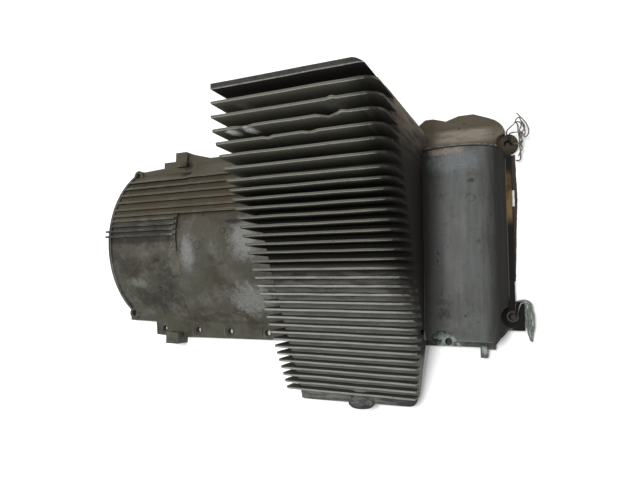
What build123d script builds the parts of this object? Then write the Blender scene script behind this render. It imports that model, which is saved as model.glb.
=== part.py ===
from build123d import *
import math
import os

# Finned cast oil pan of an engine that leans to one side, shown as it stands on a bench:
# upside down on its mating flange, cooling fins up.  Millimetres.
# +X runs from the flywheel end to the front end, +Y to the deep side of the sump,
# +Z up, away from the engine.  The origin lies in the mating plane, midway between the
# two rear ear bolts, with the crankshaft's axis over Y = 0.

# ---- mating flange -------------------------------------------------------------------
REAR_X = -9.0            # rear face of the flywheel housing
FRONT_X = 582.0            # front face of the mating flange
FLANGE_T = 9.0
CAVITY_WALL = 6.0          # general casting wall
RAIL_Y = -136.0            # bolt line along the shallow side
RAIL_FIRST_X = 184.0       # evenly spaced bolts
RAIL_PITCH = 64.0
RAIL_COUNT = 6             # the last one sits in a pocket of the front pan
HOUSING_BOLTS_X = (61.0, 126.0)
BOLT_HOLE_R = 4.5
SPOT_R = 9.0
SPOT_DEPTH = 1.0
REAR_EAR_X = 0.0
REAR_EAR_Y = 113.0
REAR_EAR_R = 9.0
REAR_EAR_RISE = 3.0
FRONT_EAR_X = 579.0
FRONT_EAR_Y = 103.5
FRONT_EAR_R = 12.0
FRONT_TAB_X = (572.0, 592.0)     # square tab round the shallow front ear
FRONT_TAB_Y = (-120.0, -86.0)
FRONT_PAD_R = 7.5          # raised seat of its bolt
FRONT_PAD_RISE = 2.0
DOWEL_X = 575.5            # small dowel hole beside the deep front ear
DOWEL_Y = 115.0
DOWEL_R = 2.0
EAR_SCOOP_R = 12.0         # room cast round the bolt head of each front ear
POCKET_R = 17.0            # and round the last bolt of the rail
DEEP_RIM = (               # wavy deep edge of the flange, from the rear to the front
    (REAR_X, 118.0), (52.0, 122.0), (52.0, 131.0), (74.0, 131.0), (98.0, 143.0), (119.0, 137.0),
    (146.0, 130.0), (292.0, 132.0), (464.0, 134.0), (480.0, 146.0), (490.0, 146.0), (506.0, 141.0),
    (522.0, 146.0), (540.0, 146.0), (560.0, 138.0), (570.0, 124.0), (576.0, 112.0), (FRONT_X, 104.0))
SHALLOW_RIM = (            # shallow edge, from the front to the rear
    (FRONT_X, -100.0), (576.0, -117.0), (565.0, -130.0), (557.0, -141.0), (489.0, -142.0), (100.0, -148.0),
    (46.0, -146.0), (44.0, -126.0), (REAR_X, -125.0))
SIDE_LUGS = (              # X, Y and Z ranges of the lugs cast on to the two edges
    ((77.0, 100.0), (-157.0, -140.0), (0.0, 24.0)),
    ((81.0, 102.0), (120.0, 143.0), (0.0, 16.0)),
    ((542.0, 550.0), (-153.0, -138.0), (0.0, 14.0)),
    ((551.0, 559.0), (-143.0, -130.0), (0.0, 11.0)))

# ---- flywheel housing and rear pan -----------------------------------------------------
BELL_R = 142.0
BELL_CREST = 60.0
BELL_Y = 3.0
BELL_FRONT_X = 119.0      # step where the housing meets the rear pan
BELL_RIM_T = 5.0
BELL_RIM_H = 2.5
SKIRT_TOP_Y = -74.0        # on the shallow side a straight skirt leaves the arch here
SKIRT_FOOT_Y = -121.0
SKIRT_REAR_X = 8.0
BULKHEAD_T = 8.0
PAN_R = 190.0
PAN_CREST = 55.0

# ---- sump block and its cooling fins ------------------------------------------------------
BLOCK_REAR_X = 292.0         # fin ends
BLOCK_FRONT_X = 484.0      # front wall, which the fins wrap round
REAR_OVERHANG = 13.0       # fin ends past the core
DEEP_Y = 138.5             # outer face of the deep side wall
SHALLOW_Y = -213.0         # outer edge of the wing at its front corner
WING_SKEW = 4.0            # its rear corner lies further out by this much
DEEP_SETBACK = 19.0        # rear ends of the deepest fins stand back by this much
DEEP_SETBACK_Y = 90.0
DEEP_CORNER_R = 26.0
WING_TAPER = 17.0          # the front wall of the wing runs in by this much
WING_TAPER_Y = -115.0
WING_CORNER_R = 16.0
DEEP_WALL_T = 5.0
TIP_Z = 157.0              # height of the fin tips over Y = 0
TIP_SLOPE = 0.586          # the engine leans 30 degrees
WING_EDGE_BOTTOM = 12.0    # underside of the wing, at its edge and at its root
WING_ROOT_BOTTOM = 32.0    # leaves room for a spanner on the rail bolts
WING_ROOT_Y = -126.0
KNEE_Y = -70.0
FIN_DEPTH_DEEP = 47.0
FIN_DEPTH_KNEE = 20.0
FIN_DEPTH_SHALLOW = 14.0
FIN_TIP_T = 2.2
FIN_ROOT_T = 4.2
UPPER_FINS = 7
UPPER_FIN_PITCH = 12.2
UPPER_FIN_FIRST_Y = 122.5
LOWER_FINS = 26
LOWER_FIN_PITCH = 9.73
LOWER_FIN_FIRST_Y = 39.5
FIN_REAR_CORNER_R = 8.0
FIN_FRONT_CORNER_R = 18.0
CORE_REAR_BEVEL = 5.0      # the casting between the fins is bevelled, not rounded
CORE_FRONT_BEVEL = 14.0
WING_SOLID = 28.0          # the wing is solid this far in from its edge

# ---- fins over the flywheel housing --------------------------------------------------------
RIB_H = 5.5
RIB_T = 3.0
LONG_RIBS = 6              # these run on to the sump block, in line with its fins
LONG_RIB_FIRST_FIN = 2
SHORT_RIBS = 4
SHORT_RIB_PITCH = 8.1
NOSE_RIBS = 2              # the lowest short ribs stand out past the rear face
RIB_NOSE = 4.0
RIB_REAR_GAP = 6.0         # the other ribs stop short of the rear face

# ---- front pan ---------------------------------------------------------------------------
FRONT_CREST = 57.0
FRONT_CREST_X = 522.0
FRONT_ROOT_Z = 50.0
FRONT_TOE_X = 576.0
FRONT_TOE_Z = 9.0
FRONT_DEEP_Y = 97.0        # ridge along the deep side
FRONT_SHALLOW_Y = -132.0
FRONT_SHALLOW_R = 20.0
FRONT_CORNER_R = 26.0      # upright corners of the front pan, seen from above
POCKET_X = RAIL_FIRST_X + RAIL_PITCH * (RAIL_COUNT - 1)

# ---- drain --------------------------------------------------------------------------------
DRAIN_X = 394.0
DRAIN_Z = 19.0
DRAIN_BOSS_R = 17.0
DRAIN_BOSS_LENGTH = 36.0
BOSS_STAND_OUT = 10.0      # how far the boss stands out past the edge of the wing
BOSS_EDGE = 3.5            # bevel round its face
PLUG_R = 9.0
THREAD_CLEARANCE = 0.1
PLUG_LENGTH = 16.0
PLUG_HEAD_R = 11.5
PLUG_HEAD_T = 4.0
PLUG_HEAD_BEVEL = 1.2
PLUG_SOCKET_ACROSS = 10.0
PLUG_SOCKET_DEPTH = 3.0
WASHER_R = 11.5
WASHER_T = 1.5
COUNTERBORE_R = 12.5       # the plug's head lies sunk in the boss
COUNTERBORE_DEPTH = PLUG_HEAD_T + WASHER_T
BOSS_FACE_Y = SHALLOW_Y - BOSS_STAND_OUT
PLUG_SEAT_Y = BOSS_FACE_Y + COUNTERBORE_DEPTH

# ---- what is left on the front edge -------------------------------------------------------
GASKET_T = 2.4
GASKET_EDGE = (            # Y, and how far the torn edge stands out in front of the flange
    (90.0, 0.0), (91.0, 5.0), (36.0, 6.0), (-5.0, 4.0), (-62.0, 1.5), (-62.0, 0.0))
GASKET_GAP = 2.8           # the strip has lifted off the flange here
GASKET_GAP_Y = (28.0, 48.0)
WIRE_R = 0.7
WIRE_SIDES = 8             # few faces, as the wire is so thin
WIRE_SEAT = BOLT_HOLE_R - WIRE_R - 0.3    # the wires lean on the front of the ear holes
UPPER_WIRE = (
    (FRONT_EAR_X + WIRE_SEAT, FRONT_EAR_Y, 2), (FRONT_EAR_X + WIRE_SEAT, FRONT_EAR_Y, 13), (594, 110, 14),
    (594, 123, 16), (589, 131, 20), (602, 121, 22), (604, 111, 18), (593, 101, 7), (592, 85, 4))
LOWER_WIRE = (
    (FRONT_EAR_X + WIRE_SEAT, -FRONT_EAR_Y, 2), (FRONT_EAR_X + WIRE_SEAT, -FRONT_EAR_Y, 14), (590, -90, 16),
    (598, -86, 12), (599, -104, 8), (602, -114, 7), (597, -135, 3), (593, -116, 3))


def yz_bar(points, x_start, x_end):
    """Bar along X with a polygon section given as (y, z) points."""
    outline = make_face(Polyline(*points, close=True))
    return extrude(Plane.YZ.offset(x_start) * outline, x_end - x_start)


def xz_bar(face, y_start, y_end):
    """Bar along Y from a face drawn as (x, z)."""
    return extrude(Plane.XZ.offset(-y_start) * face, y_start - y_end)


def plan_slab(points, z_start, z_end):
    """Slab with a polygon plan given as (x, y) points."""
    outline = make_face(Polyline(*points, close=True))
    return extrude(Pos(0, 0, z_start) * outline, z_end - z_start)


def post(x, y, radius, z_start, z_end):
    """Upright cylinder."""
    return Pos(x, y, (z_start + z_end) / 2) * Cylinder(radius, z_end - z_start)


def block(x_range, y_range, z_range):
    """Box from its ranges."""
    middle = [sum(span) / 2 for span in (x_range, y_range, z_range)]
    size = [span[1] - span[0] for span in (x_range, y_range, z_range)]
    return Pos(*middle) * Box(*size)


def y_post(radius, y_start, y_end):
    """Cylinder along Y on the drain axis."""
    return Pos(DRAIN_X, (y_start + y_end) / 2, DRAIN_Z) * Rot(90, 0, 0) * Cylinder(radius, y_end - y_start)


def arched_bar(radius, crest, centre_y, x_start, x_end):
    """Bar along X whose section is the part of a circle above the mating plane."""
    disc = Pos(centre_y, crest - radius) * Circle(radius)
    above = Pos(centre_y, radius) * Rectangle(2 * radius, 2 * radius)
    return extrude(Plane.YZ.offset(x_start) * (disc & above), x_end - x_start)


def tip_z(y):
    """Height of the fin tips."""
    return TIP_Z + TIP_SLOPE * y


def floor_z(y):
    """Height of the casting between the fins: two straight stretches with a knee."""
    if y < KNEE_Y:
        share = (y - SHALLOW_Y) / (KNEE_Y - SHALLOW_Y)
        depth = FIN_DEPTH_SHALLOW + share * (FIN_DEPTH_KNEE - FIN_DEPTH_SHALLOW)
    else:
        share = (y - KNEE_Y) / (DEEP_Y - KNEE_Y)
        depth = FIN_DEPTH_KNEE + share * (FIN_DEPTH_DEEP - FIN_DEPTH_KNEE)
    return tip_z(y) - depth


def fin_places():
    """Middle planes of the fins, from the deep side to the shallow side."""
    upper = [UPPER_FIN_FIRST_Y - UPPER_FIN_PITCH * i for i in range(UPPER_FINS)]
    lower = [LOWER_FIN_FIRST_Y - LOWER_FIN_PITCH * i for i in range(LOWER_FINS)]
    return upper + lower


def flange():
    """Plate that bolts to the crankcase, with its ears and side blocks."""
    plate = plan_slab([*DEEP_RIM, *SHALLOW_RIM], 0, FLANGE_T)
    for ear_y in (-REAR_EAR_Y, REAR_EAR_Y):
        plate += post(REAR_EAR_X, ear_y, REAR_EAR_R, 0, FLANGE_T + REAR_EAR_RISE)
    plate += post(FRONT_EAR_X, FRONT_EAR_Y, FRONT_EAR_R, 0, FLANGE_T)
    plate += block(FRONT_TAB_X, FRONT_TAB_Y, (0, FLANGE_T))
    for lug in SIDE_LUGS:
        plate += block(*lug)
    return plate


def front_pan(inset):
    """Front pan moved in by an inset: its side profile crossed with its end profile."""
    crest = FRONT_CREST - inset
    root_x = BLOCK_REAR_X + 3 * REAR_OVERHANG + inset
    root_z = FRONT_ROOT_Z - inset
    toe = (FRONT_TOE_X - inset, FRONT_TOE_Z)
    top = (FRONT_CREST_X, crest)
    corner = math.sqrt(0.5)
    shoulder = (top[0] + corner * (toe[0] - top[0]), toe[1] + corner * (top[1] - toe[1]))
    saddle = ((BLOCK_FRONT_X + FRONT_CREST_X) / 2, crest - (crest - root_z) / 4)
    side = make_face([
        Line((root_x, 0), (root_x, root_z)),
        Line((root_x, root_z), (BLOCK_FRONT_X, root_z)),
        ThreePointArc((BLOCK_FRONT_X, root_z), saddle, top),
        ThreePointArc(top, shoulder, toe),
        Line(toe, (toe[0], 0)),
        Line((toe[0], 0), (root_x, 0)),
    ])
    low_y = FRONT_SHALLOW_Y + inset
    round_r = FRONT_SHALLOW_R - inset
    round_mid = (low_y + round_r * (1 - corner), crest - round_r * (1 - corner))
    ridge = (FRONT_DEEP_Y - inset, FRONT_CREST + 1)
    foot = (DEEP_Y - inset, FLANGE_T - 1)
    hollow = (FRONT_DEEP_Y + 9 - inset, (ridge[1] + foot[1]) / 2 - 6)
    end = make_face([
        Line((low_y, 0), (low_y, crest - round_r)),
        ThreePointArc((low_y, crest - round_r), round_mid, (low_y + round_r, crest)),
        Line((low_y + round_r, crest), (low_y + round_r + 1, ridge[1])),
        Line((low_y + round_r + 1, ridge[1]), ridge),
        ThreePointArc(ridge, hollow, foot),
        Line(foot, (foot[0], 0)),
        Line((foot[0], 0), (low_y, 0)),
    ])
    along = xz_bar(side, low_y - 1, foot[0] + 1)
    across = extrude(Plane.YZ.offset(root_x) * end, toe[0] - root_x)
    plan = make_face(Polyline(
        (root_x, low_y - 1), (toe[0] + 1, low_y - 1), (toe[0] + 1, foot[0] + 1), (root_x, foot[0] + 1),
        close=True))
    front_corners = plan.vertices().sort_by(Axis.X)[-2:]
    plan = fillet(front_corners, FRONT_CORNER_R - inset)
    return along & across & extrude(plan, FRONT_CREST + 2)


def wing_bottom(y):
    """Height of the underside of the wing."""
    share = (y - SHALLOW_Y) / (WING_ROOT_Y - SHALLOW_Y)
    return WING_EDGE_BOTTOM + share * (WING_ROOT_BOTTOM - WING_EDGE_BOTTOM)


def upright_face(y, rear_x, front_x, height, rear_ease, front_ease, ease):
    """Face across X and Z at one Y, with its upper corners eased by fillet or by chamfer."""
    face = make_face(Polyline((rear_x, 0), (rear_x, height), (front_x, height), (front_x, 0), close=True))
    front_top = face.vertices().sort_by_distance((front_x, height, 0))[0]
    face = ease(front_top, min(front_ease, height / 2))
    rear_top = face.vertices().sort_by_distance((rear_x, height, 0))[0]
    face = ease(rear_top, rear_ease)
    return Plane.XZ.offset(-y) * face


def sump_core(inset):
    """Sump block without its fins, moved in by an inset."""
    slope = math.atan(TIP_SLOPE)
    drop = inset / math.cos(slope)
    less = inset * (2 - math.sqrt(2))         # keeps the wall even behind a bevel
    rear_x = BLOCK_REAR_X + REAR_OVERHANG + inset
    stations = [SHALLOW_Y - WING_SKEW, KNEE_Y, DEEP_Y - inset]
    faces = [upright_face(y, rear_x, BLOCK_FRONT_X - inset, floor_z(y) - drop,
                          CORE_REAR_BEVEL - less, CORE_FRONT_BEVEL - less, chamfer) for y in stations]
    return loft(faces, ruled=True)


def under_wing(rise, reach, root_y):
    """Space below the wing, up to a rise above its underside."""
    return yz_bar(
        [(root_y, -2), (root_y, wing_bottom(root_y) + rise),
         (reach, wing_bottom(reach) + rise), (reach, -2)],
        BLOCK_REAR_X - 1, BLOCK_FRONT_X + 1)


def sump_hollow():
    """Oil space inside the sump block, one wall inside its core."""
    wall = CAVITY_WALL
    hollow = sump_core(wall) & block_plan(wall)
    hollow -= under_wing(wall, SHALLOW_Y - 2 * WING_SKEW, WING_ROOT_Y + wall)
    hollow -= block((BLOCK_REAR_X, BLOCK_FRONT_X), (SHALLOW_Y - 2 * WING_SKEW, SHALLOW_Y + WING_SOLID),
                    (0, TIP_Z))
    return hollow


def block_plan(inset):
    """Tall prism with the plan outline of the sump block."""
    rear_x = BLOCK_REAR_X - 1 + inset
    front_x = BLOCK_FRONT_X + 0.5 - inset
    low_y = SHALLOW_Y + inset
    high_y = DEEP_Y + 0.5 - inset
    outline = make_face(Polyline(
        (rear_x, low_y - WING_SKEW), (front_x - WING_TAPER, low_y), (front_x, WING_TAPER_Y),
        (front_x, high_y), (rear_x + DEEP_SETBACK, high_y), (rear_x, DEEP_SETBACK_Y), close=True))
    corners = outline.vertices()
    wing_corner = corners.sort_by_distance((front_x - WING_TAPER, low_y, 0))[0]
    outline = fillet(wing_corner, WING_CORNER_R)
    deep_corner = outline.vertices().sort_by_distance((front_x, high_y, 0))[0]
    outline = fillet(deep_corner, DEEP_CORNER_R)
    return extrude(Pos(0, 0, -2) * outline, tip_z(DEEP_Y) + 10)


def fin(y):
    """One cooling fin: tapered above the casting's floor, upright below it."""
    tip = tip_z(y)
    root = floor_z(y)
    half_tip = FIN_TIP_T / 2
    half_root = FIN_ROOT_T / 2
    rise = TIP_SLOPE * half_root + 1
    return yz_bar(
        [(y - half_root, FLANGE_T / 2), (y - half_root, root), (y - half_tip, tip + rise),
         (y + half_tip, tip + rise), (y + half_root, root), (y + half_root, FLANGE_T / 2)],
        BLOCK_REAR_X, BLOCK_FRONT_X)


def finned_block():
    """Sump block with all its fins, trimmed to the leaning envelope and the plan outline."""
    wall_tip = tip_z(DEEP_Y) + 1
    wall_y = DEEP_Y - DEEP_WALL_T
    deep_wall = yz_bar(
        [(wall_y, 0), (wall_y, wall_tip), (DEEP_Y, wall_tip), (DEEP_Y, 0)],
        BLOCK_REAR_X, BLOCK_FRONT_X)
    comb = deep_wall + [fin(y) for y in fin_places()]
    ends = [upright_face(y, BLOCK_REAR_X, BLOCK_FRONT_X, tip_z(y),
                         FIN_REAR_CORNER_R, FIN_FRONT_CORNER_R, fillet)
            for y in (SHALLOW_Y - 2 * WING_SKEW, DEEP_Y)]
    comb = comb & loft(ends, ruled=True)
    return ((sump_core(0) + comb) & block_plan(0)) - under_wing(0, SHALLOW_Y - 2 * WING_SKEW, WING_ROOT_Y)


def arch_z(y):
    """Height of the flywheel housing's arch."""
    return BELL_CREST - BELL_R + math.sqrt(BELL_R ** 2 - (y - BELL_Y) ** 2)


def housing_skirt():
    """Straight skirt from the housing's arch down to the rail, on the shallow side."""
    top_z = arch_z(SKIRT_TOP_Y)
    return yz_bar(
        [(SKIRT_TOP_Y, 0), (SKIRT_TOP_Y, top_z), (SKIRT_FOOT_Y, FLANGE_T), (SKIRT_FOOT_Y, 0)],
        SKIRT_REAR_X, BELL_FRONT_X)


def long_rib_places():
    """Middle planes of the ribs that run on to the sump block."""
    return fin_places()[LONG_RIB_FIRST_FIN:LONG_RIB_FIRST_FIN + LONG_RIBS]


def ribbed_deck():
    """The housing's arch carried on to the sump block under the long ribs, one step above the pan."""
    low_y = long_rib_places()[-1] - RIB_T / 2
    deck_end = BLOCK_REAR_X + REAR_OVERHANG + 1
    arch = arched_bar(BELL_R, BELL_CREST, BELL_Y, BELL_FRONT_X, deck_end)
    return arch & block((BELL_FRONT_X, deck_end), (low_y, BELL_R), (0, BELL_CREST))


def housing_ribs():
    """Low ribs over the upper half of the flywheel housing and the rear pan."""
    rib_end = BLOCK_REAR_X + REAR_OVERHANG + 1
    on_bell = arched_bar(BELL_R + RIB_H, BELL_CREST + RIB_H, BELL_Y, REAR_X - RIB_NOSE, rib_end)
    on_pan = arched_bar(PAN_R + RIB_H, PAN_CREST + RIB_H, 0, BELL_FRONT_X, rib_end)
    long_y = long_rib_places()
    short_y = [long_y[-1] - SHORT_RIB_PITCH * (i + 1) for i in range(SHORT_RIBS)]
    low = FLANGE_T / 2
    high = BELL_CREST + 2 * RIB_H
    ribs = []
    for y in long_y:
        plate = block((REAR_X + RIB_REAR_GAP, rib_end), (y - RIB_T / 2, y + RIB_T / 2), (low, high))
        ribs.append(plate & (on_bell + on_pan))
    for number, y in enumerate(short_y):
        nose = RIB_NOSE if number >= SHORT_RIBS - NOSE_RIBS else -RIB_REAR_GAP
        start_z = BELL_CREST - CAVITY_WALL + 1
        plate = block((REAR_X - nose, BELL_FRONT_X), (y - RIB_T / 2, y + RIB_T / 2), (start_z, high))
        ribs.append(plate & on_bell)
    return ribs


def drain_boss():
    """Round boss for the drain plug, bevelled round its face."""
    boss = y_post(DRAIN_BOSS_R, BOSS_FACE_Y, BOSS_FACE_Y + DRAIN_BOSS_LENGTH)
    rim = boss.edges().filter_by(GeomType.CIRCLE).sort_by(Axis.Y)[0]
    return chamfer(rim, BOSS_EDGE)


def casting():
    """The whole pan as cast and machined."""
    wall = CAVITY_WALL
    core_rear = BLOCK_REAR_X + REAR_OVERHANG
    body = flange()
    body += arched_bar(BELL_R, BELL_CREST, BELL_Y, REAR_X, BELL_FRONT_X)
    body += arched_bar(BELL_R + BELL_RIM_H, BELL_CREST + BELL_RIM_H, BELL_Y, REAR_X, REAR_X + BELL_RIM_T)
    body += arched_bar(PAN_R, PAN_CREST, 0, BELL_FRONT_X, core_rear + wall)
    body += housing_skirt()
    body += ribbed_deck()
    body += front_pan(0)
    body += housing_ribs()
    body += finned_block()
    body += drain_boss()

    # hollows
    bell_hollow = arched_bar(BELL_R - wall, BELL_CREST - wall, BELL_Y, REAR_X - 1, BELL_FRONT_X - BULKHEAD_T)
    pan_hollow = arched_bar(PAN_R - wall, PAN_CREST - wall, 0, BELL_FRONT_X + wall, core_rear + wall + 1)
    front_hollow = front_pan(wall)
    scoops = [(FRONT_EAR_X, FRONT_EAR_Y, EAR_SCOOP_R), (FRONT_EAR_X, -FRONT_EAR_Y, EAR_SCOOP_R),
              (POCKET_X, RAIL_Y, POCKET_R)]
    for x, y, radius in scoops:
        front_hollow -= post(x, y, radius + wall, -FLANGE_T, FRONT_CREST + wall)
    body -= bell_hollow
    body -= pan_hollow
    body -= front_hollow
    body -= sump_hollow()
    for x, y, radius in scoops:
        body -= post(x, y, radius, FLANGE_T, FRONT_CREST + wall)
    body += post(FRONT_EAR_X, -FRONT_EAR_Y, FRONT_PAD_R, FLANGE_T / 2, FLANGE_T + FRONT_PAD_RISE)

    # bolt holes
    rail = [RAIL_FIRST_X + RAIL_PITCH * i for i in range(RAIL_COUNT)]
    holes = [(x, RAIL_Y) for x in [*HOUSING_BOLTS_X, *rail]]
    holes += [(FRONT_EAR_X, FRONT_EAR_Y), (FRONT_EAR_X, -FRONT_EAR_Y)]
    holes += [(REAR_EAR_X, REAR_EAR_Y), (REAR_EAR_X, -REAR_EAR_Y)]
    for x, y in holes:
        body -= post(x, y, BOLT_HOLE_R, -1, FLANGE_T + 2 * wall)
    for x in [*HOUSING_BOLTS_X, *rail[:-1]]:
        body -= post(x, RAIL_Y, SPOT_R, FLANGE_T - SPOT_DEPTH, FLANGE_T + 2)
    body -= post(DOWEL_X, DOWEL_Y, DOWEL_R, FLANGE_T / 2, FLANGE_T + 1)
    body -= y_post(PLUG_R + THREAD_CLEARANCE, BOSS_FACE_Y - 1, SHALLOW_Y + WING_SOLID + wall)
    body -= y_post(COUNTERBORE_R, BOSS_FACE_Y - 1, PLUG_SEAT_Y)
    return body


def drain_plug():
    """Screw plug with a bevelled head and a hexagon socket, sunk in the drain boss."""
    head_y = PLUG_SEAT_Y - WASHER_T
    shank = y_post(PLUG_R, head_y, PLUG_SEAT_Y + PLUG_LENGTH)
    head = y_post(PLUG_HEAD_R, head_y - PLUG_HEAD_T, head_y)
    rim = head.edges().filter_by(GeomType.CIRCLE).sort_by(Axis.Y)[0]
    head = chamfer(rim, PLUG_HEAD_BEVEL)
    socket_face = RegularPolygon(PLUG_SOCKET_ACROSS / 2, 6, major_radius=False)
    socket_start = Plane.XZ.offset(PLUG_HEAD_T - head_y) * Pos(DRAIN_X, DRAIN_Z) * socket_face
    return shank + head - extrude(socket_start, -PLUG_SOCKET_DEPTH)


def drain_washer():
    """Sealing ring between the plug's head and its seat in the boss."""
    ring = y_post(WASHER_R, PLUG_SEAT_Y - WASHER_T, PLUG_SEAT_Y)
    return ring - y_post(PLUG_R + THREAD_CLEARANCE, PLUG_SEAT_Y - WASHER_T - 1, PLUG_SEAT_Y + 1)


def gasket_strip():
    """Torn strip of the front gasket, still stuck along the front face of the flange."""
    strip = plan_slab([(FRONT_X + reach, y) for y, reach in GASKET_EDGE], 0, GASKET_T)
    return strip - block((FRONT_X - 1, FRONT_X + GASKET_GAP), GASKET_GAP_Y, (-1, GASKET_T + 1))


def bent_wire(points):
    """Stiff wire through the given points, kinked at each as pliers leave it."""
    corners = [Vector(*point) for point in points]
    start = Plane(origin=corners[0], z_dir=corners[1] - corners[0])
    section = start * RegularPolygon(WIRE_R, WIRE_SIDES)
    return sweep(section, path=Polyline(*corners), transition=Transition.RIGHT)


os.makedirs("parts", exist_ok=True)
parts = {
    "pan_casting": casting(),
    "drain_plug": drain_plug(),
    "drain_washer": drain_washer(),
    "front_gasket_strip": gasket_strip(),
    "upper_tie_wire": bent_wire(UPPER_WIRE),
    "lower_tie_wire": bent_wire(LOWER_WIRE),
}
for name, shape in parts.items():
    export_step(shape, f"parts/{name}.step")
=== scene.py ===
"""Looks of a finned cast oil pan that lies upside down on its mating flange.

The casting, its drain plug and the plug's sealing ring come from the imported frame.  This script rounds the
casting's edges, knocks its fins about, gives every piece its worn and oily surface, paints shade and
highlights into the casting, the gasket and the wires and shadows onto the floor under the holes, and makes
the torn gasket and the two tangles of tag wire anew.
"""

import logging
import math
from dataclasses import dataclass, field
from enum import Enum
from functools import reduce
from typing import Callable

import bmesh
import bpy
from mathutils import Matrix, Vector, noise

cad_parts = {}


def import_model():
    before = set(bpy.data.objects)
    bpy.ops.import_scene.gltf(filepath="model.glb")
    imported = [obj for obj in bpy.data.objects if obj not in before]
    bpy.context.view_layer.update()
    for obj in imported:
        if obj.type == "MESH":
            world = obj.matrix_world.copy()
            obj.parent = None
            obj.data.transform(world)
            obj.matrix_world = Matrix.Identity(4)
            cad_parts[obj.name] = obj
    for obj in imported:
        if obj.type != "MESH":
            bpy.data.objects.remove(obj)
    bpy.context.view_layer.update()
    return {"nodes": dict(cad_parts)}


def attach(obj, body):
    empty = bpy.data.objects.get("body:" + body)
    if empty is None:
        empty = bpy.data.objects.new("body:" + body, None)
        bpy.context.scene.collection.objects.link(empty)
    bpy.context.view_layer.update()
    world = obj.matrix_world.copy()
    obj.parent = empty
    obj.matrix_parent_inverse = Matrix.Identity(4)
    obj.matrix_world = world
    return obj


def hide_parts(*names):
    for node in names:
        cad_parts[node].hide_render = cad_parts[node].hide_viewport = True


LOG = logging.getLogger("oil_pan")
MM = 0.001
NOISE_SEED = 7

Colour = tuple[float, float, float]
Point = tuple[float, float, float]
Span = tuple[float, float]
Socket = bpy.types.NodeSocket
Input = Socket | float
FaceOrEdge = bmesh.types.BMFace | bmesh.types.BMEdge


# ---- where things are on the casting, in metres --------------------------------------------------


@dataclass(frozen=True)
class PanPlaces:
    """Main places of the casting, in the frame's own axes; a span is where one region turns into the next."""

    housing_front_x: float = 0.119
    block_rear_x: float = 0.292
    block_front_x: float = 0.484
    flange_top_z: float = 0.009
    rail_y: float = -0.136
    pocket_x: float = 0.504
    front_ear_x: float = 0.579
    front_ear_y: float = 0.1035
    front_ridge_y: float = 0.097
    fin_foot_z: float = 0.030
    tip_z: float = 0.157
    tip_slope: float = 0.586
    spot_face_r: float = 0.009
    bolts_x: tuple[float, ...] = (0.061, 0.126, 0.184, 0.248, 0.312, 0.376, 0.440)
    block_rear: Span = (0.287, 0.297)
    block_front: Span = (0.4841, 0.4847)
    block_foot: Span = (0.012, 0.016)
    fin_tones: Span = (-0.053, -0.041)
    high_fins: Span = (0.034, 0.052)
    deep_wall: Span = (0.1265, 0.1285)
    front_pan: Span = (0.4838, 0.4848)
    flange_top: Span = (0.0095, 0.0125)

    def depth(self, place: Vector) -> float:
        """How far a place lies below the slope of the fin tips."""
        return self.tip_z + self.tip_slope * place.y - place.z


PLACES = PanPlaces()


class Slot(Enum):
    """Names of material slots, which nothing in this script uses."""

    CASTING = "cast_aluminium"
    GASKET = "gasket_cork"
    WIRE = "wire_steel"


# ---- node trees ------------------------------------------------------------------------------------


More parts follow.
